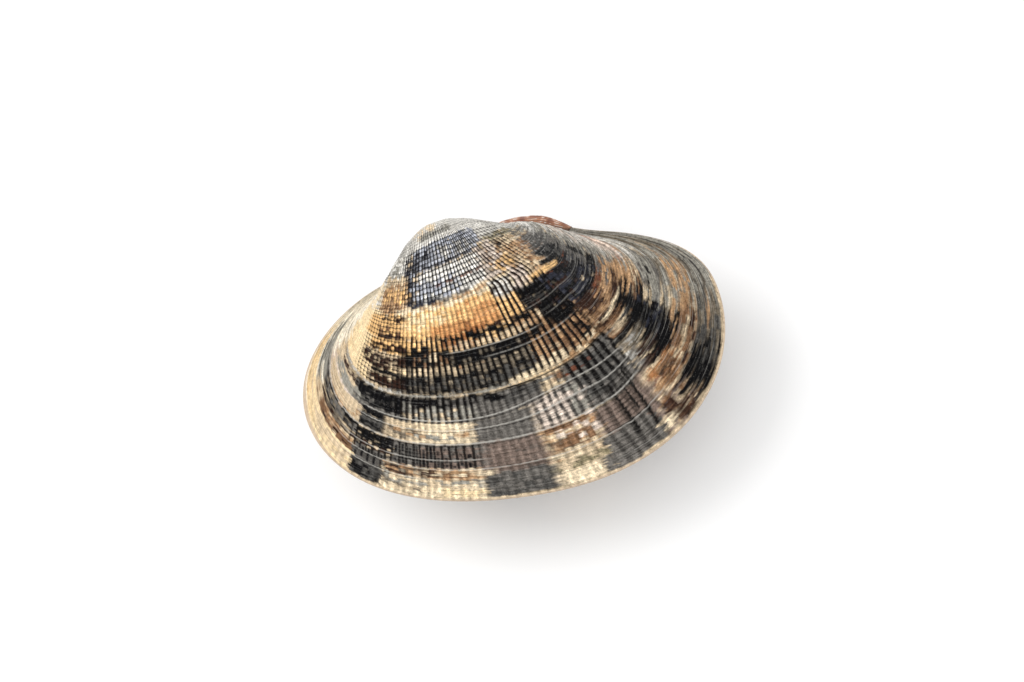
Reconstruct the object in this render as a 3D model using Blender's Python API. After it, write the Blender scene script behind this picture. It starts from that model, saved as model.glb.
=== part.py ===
"""A closed carpet-shell clam, 42 mm long, at rest on its right valve.

Two mirrored valves of shell, hollow between them, meet along a flat margin and are held by an arched
ligament behind the beaks. Every growth line is a smaller copy of the margin, swung outward round the hinge
axis, so the valve is one spiral surface of two measures: the direction from the beak in which a point lies,
and the size that the shell had when it grew.
"""

import math

import bmesh
import bpy
import numpy as np
from mathutils import Euler, Matrix, Vector

MM = 0.001

# The margin of a valve, seen from outside with the beak at the origin and the hinge axis along X: the
# direction in degrees, from the front end of the hinge round the belly to its back end, and the reach in mm.
MARGIN = (
    (0, 5.8), (20, 17.6), (40, 22.9), (65, 24.3), (90, 25.1),
    (115, 27.5), (140, 28.4), (157, 26.1), (170, 19.7), (180, 6.9),
)

# How the valve grew: the swing of a growth line round the hinge axis, and how much further the young shell
# reached forward and how much less to its ends than the full-grown one.
SWING_PER_FOLD = 1.56
SWING_EARLY = -0.556
YOUNG_FORWARD = 0.231
YOUNG_ENDS = -0.158
BEAK_SWING = math.pi
BEAK_LEAN = 0.15

# Behind the beaks the valves swell upward on both sides of the ligament: the height and the middle of this
# shoulder, how far it runs along the hinge axis to either side, and how far out from the axis.
SHOULDER_RISE = 2.55 * MM
SHOULDER_MIDDLE = 7.7 * MM
SHOULDER_AHEAD = 3.8 * MM
SHOULDER_BEHIND = 4.3 * MM
SHOULDER_REACH = 5.7 * MM

# Growth ledges, as the size of the shell at each, from 0 at the beak to 1 at the margin, with their heights.
LEDGES = (
    (0.34, 0.08), (0.44, 0.10), (0.55, 0.12), (0.672, 0.40), (0.731, 0.22),
    (0.806, 0.28), (0.853, 0.18), (0.896, 0.24), (0.95, 0.16),
)
LEDGE_DROP = 0.009
YOUNG_SIZES = (0.13, 0.18, 0.24, 0.29)
BETWEEN_SIZES = (0.39, 0.495)

# The ribs run from the beak to the margin. A rib here stands for two of the shell's fine ones.
RIBS = 36
RIB_HEIGHT = 0.13 * MM
RIB_FREE_END = 0.07
LEAST_RISE = 0.3 * MM

# The furrow in front of the back ridge, with the notch where the winter ledge crosses it.
FURROW_DIRECTION = 121.0
FURROW_WIDTH = 5.0
FURROW_DEPTH = 0.35 * MM
FURROW_FROM = 0.60

# Inside of a valve: its scale about a point in the middle of the margin's plane, and the hinge plate.
CAVITY_CENTRE = Vector((4.0, -13.0, 0.0)) * MM
CAVITY_SCALE = (0.93, 0.91, 0.86)
CAVITY_END = 0.42
HINGE_PLATE = 2.2 * MM
HINGE_PLATE_REACH = 6.0 * MM
HINGE_PLATE_BOW = 0.4 * MM
CAVITY_DIRECTIONS = 26
CAVITY_GROWTHS = 8
CAVITY_CLOSINGS = 3

MARGIN_GAP = 0.3 * MM
MERGE_DISTANCE = 0.001 * MM

# The ligament's top edge behind the beaks, in mm from the beak along and across the hinge axis, and how deep
# and wide it is in the middle.
LIGAMENT_TOP = ((1.8, 1.7), (3.6, 2.25), (5.7, 2.65), (8.3, 2.4), (10.2, 1.65), (12.1, 0.1))
LIGAMENT_HEIGHT = 3.6 * MM
LIGAMENT_WIDTH = 3.2 * MM
LIGAMENT_THIN_END = 0.25
LIGAMENT_STATIONS = 14
LIGAMENT_SIDES = 10
LIGAMENT_GAP = 0.3 * MM

# How the closed shell lies: on its right valve, long axis along X, tipped until its weight is over the
# place that it rests on, which is worn a little flat.
REST_ROTATION = Euler((math.radians(2.5), math.radians(2.0), math.radians(7.0)))
WORN_DEPTH = 0.34 * MM


def smooth_through(places, values):
    """The natural cubic curve through values at places, as a function of place."""
    x = np.array(places, float)
    y = np.array(values, float)
    step = np.diff(x)
    slope = (np.diff(y, axis=0).T / step).T
    n = len(x)
    system = np.eye(n)
    right = np.zeros_like(y)
    for i in range(1, n - 1):
        system[i, i - 1:i + 2] = step[i - 1], 2 * (step[i - 1] + step[i]), step[i]
        right[i] = 6 * (slope[i] - slope[i - 1])
    bend = np.linalg.solve(system, right)

    def at(place):
        i = int(np.clip(np.searchsorted(x, place) - 1, 0, n - 2))
        a, b, h = x[i + 1] - place, place - x[i], step[i]
        return (
            (bend[i] * a**3 + bend[i + 1] * b**3) / (6 * h)
            + (y[i] / h - bend[i] * h / 6) * a
            + (y[i + 1] / h - bend[i + 1] * h / 6) * b
        )

    return at


margin_reach = smooth_through(*zip(*MARGIN))
ligament_top = smooth_through(np.linspace(0, 1, len(LIGAMENT_TOP)), LIGAMENT_TOP)


def swing(size):
    """Angle of a growth line round the hinge axis, 0 at the margin."""
    return -SWING_PER_FOLD * math.log(size) + SWING_EARLY * (1 - size)


def beak_size():
    """Size of the growth line that has swung back into the margin's plane, found by halving."""
    low, high = 0.01, 0.5
    for _ in range(50):
        middle = (low + high) / 2
        if swing(middle) > BEAK_SWING:
            low = middle
        else:
            high = middle
    return high


BEAK_SIZE = beak_size()


def smooth_step(value, start, end):
    t = min(max((value - start) / (end - start), 0.0), 1.0)
    return t * t * (3 - 2 * t)


def grown_point(direction, size):
    """A point of the dome as it grew. direction is in degrees, as in MARGIN."""
    turn = math.radians(direction)
    younger = 1 + (1 - size) * (YOUNG_FORWARD * math.cos(turn) + YOUNG_ENDS * math.cos(2 * turn))
    reach = float(margin_reach(direction)) * MM * size * younger
    away = reach * math.sin(turn)
    angle = swing(size)
    lean = BEAK_LEAN * smooth_step(angle, math.radians(75), BEAK_SWING)
    return Vector((
        -reach * math.cos(turn) - lean * away,
        -away * math.cos(angle),
        away * math.sin(angle),
    ))


def bare_point(direction, size):
    """A point of the outer surface without its relief: the dome with its shoulder behind the beak."""
    point = grown_point(direction, size)
    along = point.x - SHOULDER_MIDDLE
    along /= SHOULDER_AHEAD if along < 0 else SHOULDER_BEHIND
    away = math.hypot(point.y, point.z) / SHOULDER_REACH
    point.y += SHOULDER_RISE * math.exp(-(along**2) - away**2)
    return point


def outward(direction, size):
    """The outward normal of the bare surface."""
    d, s = 0.25, 0.002
    low_d, high_d = max(direction - d, 0.0), min(direction + d, 180.0)
    low_s, high_s = max(size - s, BEAK_SIZE), min(size + s, 1.0)
    along = bare_point(high_d, size) - bare_point(low_d, size)
    growing = bare_point(direction, high_s) - bare_point(direction, low_s)
    return growing.cross(along).normalized()


def ledge_relief(size):
    """Height over the bare surface: each growth band swells to a lip and drops to the next."""
    start = BEAK_SIZE
    for lip, height in LEDGES:
        if size <= lip:
            return height * MM * ((size - start) / (lip - start)) ** 2
        start = lip
    return 0.0


def relief(direction, size, crest):
    """Height of ribs, ledges and furrow over the bare surface. crest is 1 on a rib and -1 between two."""
    across = direction / 180
    free = smooth_step(across, 0, RIB_FREE_END) * smooth_step(1 - across, 0, RIB_FREE_END)
    rib = RIB_HEIGHT * size * crest
    furrow = math.exp(-(((direction - FURROW_DIRECTION) / FURROW_WIDTH) ** 2))
    furrow *= FURROW_DEPTH * smooth_step(size, FURROW_FROM - 0.05, FURROW_FROM + 0.08)
    return free * (rib + ledge_relief(size) - furrow)


def outer_rows():
    """Sizes of the growth lines that carry vertices: both sides of every ledge, and some between."""
    sizes = {1.0, BEAK_SIZE, *YOUNG_SIZES, *BETWEEN_SIZES}
    for lip, _ in LEDGES:
        sizes |= {lip, lip + LEDGE_DROP}
    return sorted(sizes, reverse=True)


def outer_grid():
    rows = []
    for size in outer_rows():
        row = []
        for i in range(2 * RIBS + 1):
            direction = 180 * i / (2 * RIBS)
            point = bare_point(direction, size)
            if 0 < i < 2 * RIBS and size > BEAK_SIZE:
                point += outward(direction, size) * relief(direction, size, -math.cos(math.pi * i))
                point.z = max(point.z, LEAST_RISE * (1 - size))
            if size in (1.0, BEAK_SIZE) or i in (0, 2 * RIBS):
                point.z = 0.0
            row.append(point)
        rows.append(row)
    return rows


def cavity_point(direction, size):
    """A point of the inner surface: the dome scaled inward, and kept clear of the hinge plate."""
    point = grown_point(direction, size) - CAVITY_CENTRE
    point = Vector(value * scale for value, scale in zip(point, CAVITY_SCALE)) + CAVITY_CENTRE
    from_axis = math.hypot(point.y, point.z)
    point.y -= HINGE_PLATE * math.exp(-((from_axis / HINGE_PLATE_REACH) ** 2))
    return point


def cavity_grid():
    """Rows from the margin up under the dome, and then down to the hinge plate in a rounded wall."""
    rows = []
    for j in range(CAVITY_GROWTHS + 1):
        size = 1 + (CAVITY_END - 1) * j / CAVITY_GROWTHS
        rows.append([cavity_point(180 * i / CAVITY_DIRECTIONS, size) for i in range(CAVITY_DIRECTIONS + 1)])
    arch = rows[-1]
    first, last = arch[0], arch[-1]
    for j in range(1, CAVITY_CLOSINGS + 1):
        part = j / CAVITY_CLOSINGS
        row = []
        for i, point in enumerate(arch):
            across = i / CAVITY_DIRECTIONS
            foot = first.lerp(last, across)
            foot.y -= HINGE_PLATE_BOW * math.sin(math.pi * across)
            row.append(foot + (point - foot) * math.cos(part * math.pi / 2))
        rows.append(row)
    for row in rows:
        row[0].z = row[-1].z = 0.0
    for point in rows[0] + rows[-1]:
        point.z = 0.0
    return rows


def add_grid(bm, rows, flip):
    """Adds a grid of points as faces, none of which lies in the margin's plane."""
    grid = [[bm.verts.new(point) for point in row] for row in rows]
    for upper, lower in zip(grid, grid[1:]):
        for a, b, c, d in zip(upper, upper[1:], lower[1:], lower):
            corners = [d, c, b, a] if flip else [a, b, c, d]
            raised = [k for k, corner in enumerate(corners) if corner.co.z != 0]
            if len(raised) == 1:
                top, second, third, fourth = corners[raised[0]:] + corners[:raised[0]]
                bm.faces.new((top, second, third))
                bm.faces.new((top, third, fourth))
            else:
                bm.faces.new(corners)


def valve_mesh(name, side):
    """One valve as a closed solid: dome, cavity, and the flat margin and hinge plate between them."""
    bm = bmesh.new()
    add_grid(bm, outer_grid(), flip=False)
    add_grid(bm, cavity_grid(), flip=True)
    bmesh.ops.remove_doubles(bm, verts=bm.verts, dist=MERGE_DISTANCE)
    outlines = [edge for edge in bm.edges if edge.is_boundary]
    bmesh.ops.triangle_fill(bm, use_beauty=True, edges=outlines, normal=(0, 0, -1))
    bmesh.ops.transform(bm, matrix=Matrix.Diagonal((1, 1, side, 1)), verts=bm.verts)
    bmesh.ops.triangulate(bm, faces=bm.faces)
    bmesh.ops.recalc_face_normals(bm, faces=bm.faces)
    mesh = bpy.data.meshes.new(name)
    bm.to_mesh(mesh)
    bm.free()
    mesh.shade_smooth()
    mesh.set_sharp_from_angle(angle=math.radians(35))
    return mesh


def ligament_mesh(name, extra):
    """The ligament, thick in the middle and thin at its ends, or with extra a cutter that clears it."""
    bm = bmesh.new()
    rings = []
    for j in range(LIGAMENT_STATIONS + 1):
        place = j / LIGAMENT_STATIONS
        ahead = ligament_top(min(place + 0.01, 1)) - ligament_top(max(place - 0.01, 0))
        along = Vector((*ahead, 0)).normalized()
        up = Vector((-along.y, along.x, 0))
        swell = LIGAMENT_THIN_END + (1 - LIGAMENT_THIN_END) * math.sin(math.pi * place) ** 0.5
        centre = Vector((*ligament_top(place), 0)) * MM - up * LIGAMENT_HEIGHT / 2 * swell
        if extra and j in (0, LIGAMENT_STATIONS):
            centre += along * (extra if j else -extra)
        half_height = LIGAMENT_HEIGHT / 2 * swell + extra
        half_width = LIGAMENT_WIDTH / 2 * swell + extra
        ring = []
        for k in range(LIGAMENT_SIDES):
            turn = 2 * math.pi * k / LIGAMENT_SIDES
            offset = up * half_height * math.cos(turn) + Vector((0, 0, 1)) * half_width * math.sin(turn)
            ring.append(bm.verts.new(centre + offset))
        rings.append(ring)
    for ring, following in zip(rings, rings[1:]):
        for k in range(LIGAMENT_SIDES):
            n = (k + 1) % LIGAMENT_SIDES
            bm.faces.new((ring[k], ring[n], following[n], following[k]))
    bm.faces.new(rings[0][::-1])
    bm.faces.new(rings[-1])
    bmesh.ops.recalc_face_normals(bm, faces=bm.faces)
    mesh = bpy.data.meshes.new(name)
    bm.to_mesh(mesh)
    bm.free()
    mesh.shade_smooth()
    return mesh


def material(name, colour, roughness):
    made = bpy.data.materials.new(name)
    made.use_nodes = True
    shader = made.node_tree.nodes["Principled BSDF"]
    shader.inputs["Base Color"].default_value = (*colour, 1)
    shader.inputs["Roughness"].default_value = roughness
    shader.inputs["Metallic"].default_value = 0.0
    return made


def add_object(name, mesh, parent, finish=None):
    obj = bpy.data.objects.new(name, mesh)
    bpy.context.scene.collection.objects.link(obj)
    obj.parent = parent
    if finish:
        mesh.materials.append(finish)
    return obj


def cut_groove(valve, cutter):
    """The groove in the hinge line that the ligament lies in."""
    groove = valve.modifiers.new("ligament_groove", "BOOLEAN")
    groove.operation = "DIFFERENCE"
    groove.object = cutter
    groove.solver = "EXACT"


def wear_flat(mesh, to_world):
    """Flattens the lowest spot of the resting valve by WORN_DEPTH."""
    lowest = min((to_world @ vertex.co).z for vertex in mesh.vertices)
    floor = lowest + WORN_DEPTH
    to_mesh = to_world.inverted()
    for vertex in mesh.vertices:
        place = to_world @ vertex.co
        if place.z < floor:
            place.z = floor
            vertex.co = to_mesh @ place
    return floor


def build():
    for old in list(bpy.data.objects):
        bpy.data.objects.remove(old)
    rest = bpy.data.objects.new("rest_position", None)
    bpy.context.scene.collection.objects.link(rest)
    rest.rotation_euler = REST_ROTATION

    shell = material("patterned_shell", (0.16, 0.13, 0.10), 0.45)
    horn = material("brown_ligament", (0.20, 0.09, 0.05), 0.5)

    left = add_object("left_valve", valve_mesh("left_valve", 1), rest, shell)
    left.location.z = MARGIN_GAP / 2
    right = add_object("right_valve", valve_mesh("right_valve", -1), rest, shell)
    right.location.z = -MARGIN_GAP / 2
    ligament = add_object("ligament", ligament_mesh("ligament", 0), rest, horn)

    cutter = add_object("groove_cutter", ligament_mesh("groove_cutter", LIGAMENT_GAP), rest)
    cutter.hide_render = True
    cutter.display_type = "WIRE"
    for valve in (left, right):
        cut_groove(valve, cutter)

    bpy.context.view_layer.update()
    wear_flat(right.data, right.matrix_world)
    corners = []
    for piece in (left, right, ligament):
        corners += [piece.matrix_world @ vertex.co for vertex in piece.data.vertices]
    low = [min(corner[axis] for corner in corners) for axis in range(3)]
    high = [max(corner[axis] for corner in corners) for axis in range(3)]
    rest.location = (-(low[0] + high[0]) / 2, -(low[1] + high[1]) / 2, -low[2])


build()
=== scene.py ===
"""A closed carpet-shell clam on a pale table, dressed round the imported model."""

import math

import bmesh
import bpy
import numpy as np
from mathutils import Euler, Matrix, Vector


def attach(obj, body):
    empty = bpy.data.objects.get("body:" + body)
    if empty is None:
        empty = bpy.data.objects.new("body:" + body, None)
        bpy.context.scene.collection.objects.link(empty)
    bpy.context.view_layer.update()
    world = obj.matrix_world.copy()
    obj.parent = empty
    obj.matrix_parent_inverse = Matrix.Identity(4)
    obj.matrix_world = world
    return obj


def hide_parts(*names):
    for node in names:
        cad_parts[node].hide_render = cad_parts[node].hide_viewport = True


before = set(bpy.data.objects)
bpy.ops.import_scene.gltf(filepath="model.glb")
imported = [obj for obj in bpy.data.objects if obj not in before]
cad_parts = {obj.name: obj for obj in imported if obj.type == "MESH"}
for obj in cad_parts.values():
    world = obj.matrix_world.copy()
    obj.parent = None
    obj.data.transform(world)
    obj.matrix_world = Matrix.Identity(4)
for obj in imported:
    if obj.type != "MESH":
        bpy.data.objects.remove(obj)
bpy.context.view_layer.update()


# How the shell lies.
# Each valve is grown in a frame of its own: the beak at the origin, the hinge axis along X, the margin in the
# plane z = 0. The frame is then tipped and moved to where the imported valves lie.
MM = 0.001
TIP = Euler((math.radians(2.5), math.radians(2.0), math.radians(7.0)))
BEAK_PLACE = Vector((-4.2329, 10.7965, 10.1877)) * MM
MARGIN_GAP = 0.3 * MM
lying = Matrix.Translation(BEAK_PLACE) @ TIP.to_matrix().to_4x4()


# The valves' growth.
# A clam adds shell at its margin, a growth line at a time. Each line is a smaller copy of the margin, swung
# outward round the hinge axis, and together they make the dome. Behind the beaks it swells to a shoulder on
# both sides of the ligament, and a groove along the hinge takes the ligament.

# The margin: directions in degrees round the beak from the front end, and how far out in mm.
MARGIN = (
    (0, 5.8), (20, 17.6), (40, 22.9), (65, 24.3), (90, 25.1),
    (115, 27.5), (140, 28.4), (157, 26.1), (170, 19.7), (180, 6.9),
)
BEAK_SIZE = 0.0975
# How many ribs there are, and how much closer together they are at the front end.
RIBS = 84
RIB_CROWDING = 0.4
# Directions that carry vertices: from each to the next, and how many columns between them.
COLUMNS = ((0, 10, 24), (10, 40, 40), (40, 130, 216), (130, 168, 62), (168, 180, 34))
# Growth lines that carry vertices: up to each size, the step in size from one to the next.
LINE_STEPS = ((0.25, 0.0125), (0.68, 0.0034), (1.0, 0.0028))


def smooth_through(places, values):
    """The natural cubic curve through values at places."""
    x = np.array(places, float)
    y = np.array(values, float)
    step = np.diff(x)
    slope = np.diff(y) / step
    system = np.eye(len(x))
    right = np.zeros_like(y)
    for i in range(1, len(x) - 1):
        system[i, i - 1:i + 2] = step[i - 1], 2 * (step[i - 1] + step[i]), step[i]
        right[i] = 6 * (slope[i] - slope[i - 1])
    bend = np.linalg.solve(system, right)

    def at(place):
        i = np.clip(np.searchsorted(x, place) - 1, 0, len(x) - 2)
        a, b, h = x[i + 1] - place, place - x[i], step[i]
        return (
            (bend[i] * a**3 + bend[i + 1] * b**3) / (6 * h)
            + (y[i] / h - bend[i] * h / 6) * a
            + (y[i + 1] / h - bend[i + 1] * h / 6) * b
        )

    return at


def ribs_before(direction):
    """How many ribs lie in front of a direction. They are closer together towards the front end."""
    across = direction / 180
    return across * (1 + RIB_CROWDING * (1 - across)) * RIBS


def column_directions():
    """Directions of the columns of vertices, in even steps of the ribs in each stretch."""
    fine = np.linspace(0, 180, 2000)
    ribs = [0.0]
    for first, last, count in COLUMNS:
        ribs += list(np.linspace(ribs_before(first), ribs_before(last), count + 1)[1:])
    return np.interp(ribs, ribs_before(fine), fine)


def growth_lines(steps):
    """Sizes from the beak to the margin."""
    sizes = [BEAK_SIZE]
    for end, step in steps:
        count = round((end - sizes[-1]) / step)
        sizes += list(np.linspace(sizes[-1], end, count + 1)[1:])
    return sizes


def grid_faces(rows, columns):
    """Faces between rows of vertices."""
    return [
        (r * columns + c, r * columns + c + 1, (r + 1) * columns + c + 1, (r + 1) * columns + c)
        for r in range(rows - 1)
        for c in range(columns - 1)
    ]


def fan(name, directions, sizes):
    """A valve laid flat: its growth lines as rows of vertices, which know their direction, size and reach."""
    across, size = np.meshgrid(directions, sizes)
    reach = smooth_through(*zip(*MARGIN))(across) * MM
    turn = np.radians(across)
    flat = np.stack([-reach * np.cos(turn) * size, -reach * np.sin(turn) * size, 0 * size], -1)
    mesh = bpy.data.meshes.new(name)
    mesh.from_pydata(flat.reshape(-1, 3).tolist(), [], grid_faces(len(sizes), len(directions)))
    for label, values in (("direction", across), ("size", size), ("reach", reach)):
        mesh.attributes.new(label, "FLOAT", "POINT").data.foreach_set("value", values.ravel())
    return mesh


class Wire:
    """A value in a node tree. Arithmetic on it adds Math nodes to the tree."""

    def __init__(self, tree, socket):
        self.tree = tree
        self.socket = socket

    def math(self, operation, *others):
        node = self.tree.nodes.new("ShaderNodeMath")
        node.operation = operation
        for value, entry in zip((self, *others), node.inputs):
            plug(value, entry)
        return Wire(self.tree, node.outputs[0])

    def __add__(self, other):
        return self.math("ADD", other)

    def __sub__(self, other):
        return self.math("SUBTRACT", other)

    def __mul__(self, other):
        return self.math("MULTIPLY", other)

    def __truediv__(self, other):
        return self.math("DIVIDE", other)

    def __pow__(self, other):
        return self.math("POWER", other)

    def __rsub__(self, other):
        return self.math("MULTIPLY_ADD", -1, other)

    def __neg__(self):
        return self.math("MULTIPLY", -1)

    __radd__ = __add__
    __rmul__ = __mul__

    def at_least(self, other):
        return self.math("MAXIMUM", other)

    def at_most(self, other):
        return self.math("MINIMUM", other)

    def wave(self):
        """Cosine of a full turn for each 1 of the value."""
        return (self * math.tau).math("COSINE")

    def ramp(self, start, end, low=0, high=1):
        """Goes smoothly from low to high while the value goes from start to end."""
        node = self.tree.nodes.new("ShaderNodeMapRange")
        node.interpolation_type = "SMOOTHSTEP"
        for value, entry in zip((self, start, end, low, high), node.inputs):
            plug(value, entry)
        return Wire(self.tree, node.outputs[0])

    def band(self, start, end, soft):
        """1 from start to end, with soft edges, and 0 outside."""
        return self.ramp(start - soft, start + soft) * self.ramp(end - soft, end + soft, 1, 0)

    def hill(self, middle, width):
        """A rounded hill of height 1."""
        return (-(((self - middle) / width) ** 2)).math("EXPONENT")

    def peak(self, middle, half_width):
        """A narrow line of height 1."""
        return (self - middle).math("ABSOLUTE").ramp(0, half_width, 1, 0)


def plug(value, entry):
    """Feeds a socket with a wire or with a plain value."""
    if isinstance(value, Wire):
        value.tree.links.new(value.socket, entry)
    else:
        entry.default_value = value


def add_node(tree, kind, settings=None, **values):
    """A node with its settings and inputs. An input is named in lower case with _ for a space."""
    node = tree.nodes.new(kind)
    for key, value in (settings or {}).items():
        setattr(node, key, value)
    entries = {entry.name.lower().replace(" ", "_"): entry for entry in reversed(node.inputs)}
    for key, value in values.items():
        plug(value, entries[key])
    return node


def wire(tree, kind, settings=None, output=0, **values):
    """A new node's output as a wire."""
    return Wire(tree, add_node(tree, kind, settings, **values).outputs[output])


def attribute(tree, name):
    """A number that the mesh holds at each vertex."""
    return wire(tree, "GeometryNodeInputNamedAttribute", {"data_type": "FLOAT"}, name=name)


def vector(tree, x, y, z):
    return wire(tree, "ShaderNodeCombineXYZ", x=x, y=y, z=z)


def noise(tree, x, y, z, scale=1.0, detail=2.0):
    """Smooth noise from -1 to 1 or so."""
    place = vector(tree, x, y, z)
    value = wire(tree, "ShaderNodeTexNoise", vector=place, scale=scale, detail=detail)
    return (value - 0.5) * 2


def chance(tree, value):
    """A fixed random number from 0 to 1 for each value."""
    return wire(tree, "ShaderNodeTexWhiteNoise", {"noise_dimensions": "1D"}, w=value)


def open_tree(name, inputs):
    """A Geometry Nodes tree with named number inputs: the tree, then its geometry and inputs as wires."""
    tree = bpy.data.node_groups.new(name, "GeometryNodeTree")
    tree.interface.new_socket("Geometry", in_out="INPUT", socket_type="NodeSocketGeometry")
    tree.interface.new_socket("Geometry", in_out="OUTPUT", socket_type="NodeSocketGeometry")
    for label, value in inputs.items():
        tree.interface.new_socket(label, in_out="INPUT", socket_type="NodeSocketFloat").default_value = value
    entry = tree.nodes.new("NodeGroupInput")
    return tree, [Wire(tree, socket) for socket in entry.outputs[:-1]]


def close_tree(tree, geometry, material):
    """Ends a tree with real instances and the material."""
    real = wire(tree, "GeometryNodeRealizeInstances", geometry=geometry)
    finished = wire(tree, "GeometryNodeSetMaterial", geometry=real, material=material)
    plug(finished, tree.nodes.new("NodeGroupOutput").inputs[0])


def moved(tree, geometry, **values):
    return wire(tree, "GeometryNodeSetPosition", geometry=geometry, **values)


def kept(tree, geometry, name, value, kind="FLOAT"):
    """Stores a value at each vertex for the material to read."""
    settings = {"data_type": kind, "domain": "POINT"}
    return wire(tree, "GeometryNodeStoreNamedAttribute", settings, geometry=geometry, name=name, value=value)


def swing_tree():
    """Swings each growth line of a flat fan to its place in the dome, with the shoulder and the groove."""
    tree, inputs = open_tree("swing_growth_lines", {
        "Swing per fold": 1.56, "Early swing": -0.556, "Young forward": 0.231, "Young ends": -0.158,
        "Beak lean": 0.15, "Shoulder rise": 2.70 * MM, "Shoulder middle": 7.7 * MM,
        "Shoulder ahead": 3.8 * MM, "Shoulder behind": 5.4 * MM, "Shoulder reach": 5.7 * MM,
        "Groove depth": 0.8 * MM, "Groove start": 2.0 * MM, "Groove end": 10.2 * MM, "Groove tail": 7.0 * MM,
        "Groove inside": 0.3 * MM, "Groove outside": 1.2 * MM, "Groove reach": 7.0 * MM,
    })
    geometry, swing_per_fold, swing_early, forward, ends, lean, *rest = inputs
    rise, middle, ahead, behind, shoulder_reach, *groove = rest
    depth, start, end, tail, inside, outside, groove_reach = groove
    turn = attribute(tree, "direction") * math.radians(1)
    size = attribute(tree, "size")
    cosine = turn.math("COSINE")
    younger = 1 + (1 - size) * (forward * cosine + ends * (turn * 2).math("COSINE"))
    reach = attribute(tree, "reach") * size * younger
    away = reach * turn.math("SINE")
    angle = swing_early * (1 - size) - swing_per_fold * size.math("LOGARITHM", math.e)
    x = -(reach * cosine) - lean * angle.ramp(math.radians(75), math.pi) * away
    y = -(away * angle.math("COSINE"))
    z = away * angle.math("SINE")
    along = x - middle
    along = along.at_most(0) / ahead + along.at_least(0) / behind
    swell = (-(along ** 2) - (y * y + z * z) / (shoulder_reach * shoulder_reach)).math("EXPONENT")
    trough = x.ramp(start * 0.5, start * 1.5) * x.ramp(end, end + tail, 1, 0)
    trough = trough * z.ramp(inside, outside, 1, 0) * y.ramp(-groove_reach, groove_reach * -0.5)
    place = vector(tree, x, y + rise * swell - depth * trough, z)
    close_tree(tree, moved(tree, geometry, position=place), None)
    return tree


# The valves' relief.
# Fine ribs run from the beak to the margin, and growth cords cross them. Where growth stopped for a while it
# left a lip. The back slope has lamellae in place of ribs, and a furrow runs in front of it.

# Each lip: its age and its height in mm.
LIPS = (
    (0.281, 0.05), (0.34, 0.04), (0.432, 0.06), (0.525, 0.06), (0.568, 0.07), (0.62, 0.05), (0.677, 0.34),
    (0.731, 0.17), (0.766, 0.12), (0.808, 0.18), (0.86, 0.09), (0.893, 0.14), (0.928, 0.08), (0.955, 0.06),
)
LIP_DROP = 0.006
# The direction where the back slope starts, and the age from cord to cord and from lamella to lamella.
BACK_SLOPE = 129.0
CORD_SPACING = 0.0122
LAMELLA_SPACING = 0.0085
# Cracks along the ribs of the furrow: direction, slant in degrees for each 1 of size, sizes.
CRACKS = ((119.5, 8, 0.78, 0.93), (122.3, 5, 0.8, 0.88), (124.3, 14, 0.77, 0.945))
CRACK_MIDDLE = 0.860
# How dark the painted shade is in the grooves between ribs and in those between cords, with directions and
# ages.
GROOVE_SHADES = (
    (0.4, 0.3, (0, 180), (0.0, 0.29)),
    (0.9, 0.7, (57, 104), (0.285, 0.436)),
    (0.45, 0.45, (104, 129), (0.3, 0.475)),
    (0.8, 0.5, (101, 113), (0.44, 0.475)),
    (0.42, 0.04, (56, 101), (0.436, 0.522)),
    (0.95, 0.3, (101, 129), (0.475, 0.668)),
    (0.95, 0.3, (60, 101), (0.528, 0.668)),
    (0.4, 0.3, (40, 60), (0.33, 0.44)),
    (0.42, 0.55, (40, 60), (0.44, 0.668)),
    (0.85, 0.1, (58, 84), (0.68, 0.74)),
    (0.5, 0.1, (84, 113), (0.68, 0.74)),
    (0.16, 0.08, (56, 99), (0.74, 0.812)),
    (0.5, 0.3, (99, 113), (0.735, 0.812)),
    (0.95, 0.25, (113, 129), (0.68, 0.77)),
    (0.6, 0.4, (113, 129), (0.77, 0.815)),
    (0.9, 0.15, (46, 83), (0.812, 0.89)),
    (0.12, 0.14, (83, 99), (0.812, 0.99)),
    (0.16, 0.14, (99, 113), (0.812, 0.93)),
    (0.42, 0.3, (113, 124), (0.815, 0.985)),
    (0.14, 0.08, (48, 83), (0.89, 0.985)),
    (0.05, 0.04, (99, 113), (0.93, 1.0)),
)


def growth_age(tree, direction, size, seed):
    """The age of the growth line at each vertex. It isn't quite the size: old lines were bent ones."""
    slant = (direction.at_most(108) - 80) * 0.00056 * size.ramp(0.43, 0.50, 1, 0)
    front = (58 - direction).at_least(0) * 0.0012 * size.ramp(0.36, 0.46, 1, 0)
    front = front + (46 - direction).at_least(0).at_most(18) * 0.0011 * size.ramp(0.60, 0.70)
    bow = (direction.hill(110, 16) * 0.027 - 0.012) * size.hill(0.735, 0.035)
    drift = (direction - 130).at_least(0) * 0.0013 * size.ramp(0.9, 1.0, 1, 0)
    sway = noise(tree, direction * 0.05, size * 6, seed) * 0.0015
    return size + slant + front + bow - drift + sway


def lips_in_mm(direction, age):
    """Height of the lips. The shell swells from each to the next, where it drops off."""
    lips = 0 * age
    start = BEAK_SIZE
    for place, height in LIPS:
        rise = ((age - start) / (place - start)).at_least(0).at_most(1.2) ** 2
        drop = age.ramp(place, place + LIP_DROP, 1, 0)
        lips = lips + height * rise * drop * age.ramp(start, start + LIP_DROP)
        start = place
    return lips * (1 + 0.7 * direction.band(103, 129, 4) * age.hill(0.672, 0.01))


def furrow_shape(direction, size):
    """The furrow and the slight one behind it, 1 at their deepest."""
    furrow = direction.hill(120.5, 4.0) * size.ramp(0.58, 0.70)
    return furrow + 0.5 * direction.hill(128.5, 1.5) * size.ramp(0.66, 0.72)


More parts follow.
